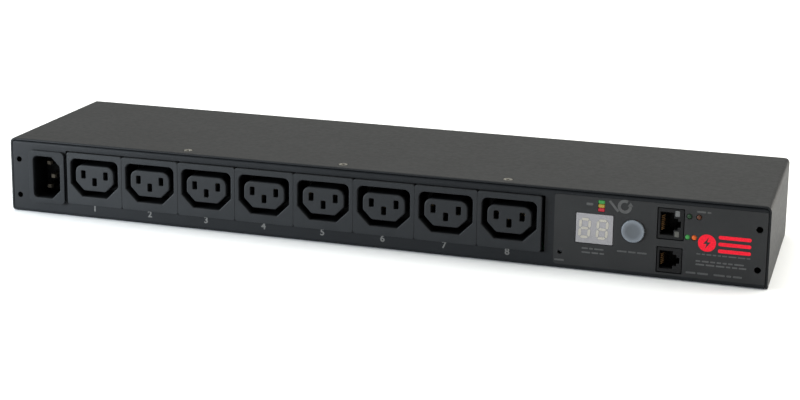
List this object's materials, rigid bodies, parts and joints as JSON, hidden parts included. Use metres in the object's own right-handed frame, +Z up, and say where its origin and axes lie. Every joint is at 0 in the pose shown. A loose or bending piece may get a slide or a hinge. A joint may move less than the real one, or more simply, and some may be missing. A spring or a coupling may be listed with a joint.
{
  "type": "rack power distribution strip",
  "caption": "One-unit-high black steel rack power strip with a row of mains outlets, an appliance inlet, a load display, a push button, lamps and data jacks.",
  "frame": {"origin": "middle of the bottom of the object's box", "axes": "+X along the front from the inlet to the data jacks, -Y out of the front panel, +Z up"},
  "size_m": [0.432, 0.108, 0.044],
  "materials": {
    "powder_coat": "fine-textured black powder coat on sheet steel",
    "overlay": "satin printed polyester film",
    "outlet_plastic": "satin moulded thermoplastic, dark grey",
    "brass": "stamped brass",
    "inlet_plastic": "satin moulded thermoplastic, black",
    "plated_metal": "nickel-plated blade",
    "screw_steel": "dark zinc-plated steel",
    "display_window": "milky light-grey filter window",
    "button_plastic": "light blue-grey moulded cap",
    "switch_plastic": "black moulded switch body",
    "jack_plastic": "black moulded jack",
    "circuit_board": "green solder mask on glass laminate",
    "lamp_green": "clear tinted lamp lens, green",
    "lamp_yellow": "clear tinted lamp lens, yellow",
    "lamp_red": "clear tinted lamp lens, red",
    "lamp_orange": "clear tinted lamp lens, orange",
    "relay_case": "black relay case",
    "transformer_core": "laminated steel core with taped winding",
    "lead_brown": "brown lead insulation",
    "lead_blue": "blue lead insulation",
    "lead_green": "green lead insulation"
  },
  "bodies": {
    "case": {"chassis_tray": "powder_coat", "top_cover": "powder_coat", "outlet_carrier": "powder_coat", "front_label": "overlay", "outlet_1": "outlet_plastic", "outlet_2": "outlet_plastic", "outlet_3": "outlet_plastic", "outlet_4": "outlet_plastic", "outlet_5": "outlet_plastic", "outlet_6": "outlet_plastic", "outlet_7": "outlet_plastic", "outlet_8": "outlet_plastic", "line_contact_1": "brass", "line_contact_2": "brass", "line_contact_3": "brass", "line_contact_4": "brass", "line_contact_5": "brass", "line_contact_6": "brass", "line_contact_7": "brass", "line_contact_8": "brass", "neutral_busbar": "brass", "earth_busbar": "brass", "inlet_housing": "inlet_plastic", "inlet_line_pin": "plated_metal", "inlet_neutral_pin": "plated_metal", "inlet_earth_pin": "plated_metal", "cover_screw_1": "screw_steel", "cover_screw_2": "screw_steel", "cover_screw_3": "screw_steel", "led_display": "display_window", "button_switch": "switch_plastic", "reset_switch": "switch_plastic", "network_jack": "jack_plastic", "serial_jack": "jack_plastic", "display_board": "circuit_board", "control_board": "circuit_board", "relay_board": "circuit_board", "load_lamp_green": "lamp_green", "network_lamp_green": "lamp_green", "serial_lamp_green": "lamp_green", "load_lamp_yellow": "lamp_yellow", "load_lamp_red": "lamp_red", "network_lamp_orange": "lamp_orange", "serial_lamp_orange": "lamp_orange", "relay_1": "relay_case", "relay_2": "relay_case", "relay_3": "relay_case", "relay_4": "relay_case", "relay_5": "relay_case", "relay_6": "relay_case", "relay_7": "relay_case", "relay_8": "relay_case", "transformer": "transformer_core", "line_lead": "lead_brown", "neutral_lead": "lead_blue", "earth_lead": "lead_green"},
    "display_button": {"display_button": "button_plastic"},
    "reset_plunger": {"reset_plunger": "button_plastic"}
  },
  "joints": [
    {"name": "button_press", "type": "slide", "parent": "case", "child": "display_button", "axis": [0, 1, 0], "range_m": [0, 0.0008], "stiffness_N_per_m": 800, "springref_m": -0.0005},
    {"name": "reset_press", "type": "slide", "parent": "case", "child": "reset_plunger", "axis": [0, 1, 0], "range_m": [0, 0.0003], "stiffness_N_per_m": 800, "springref_m": -0.0005}
  ]
}
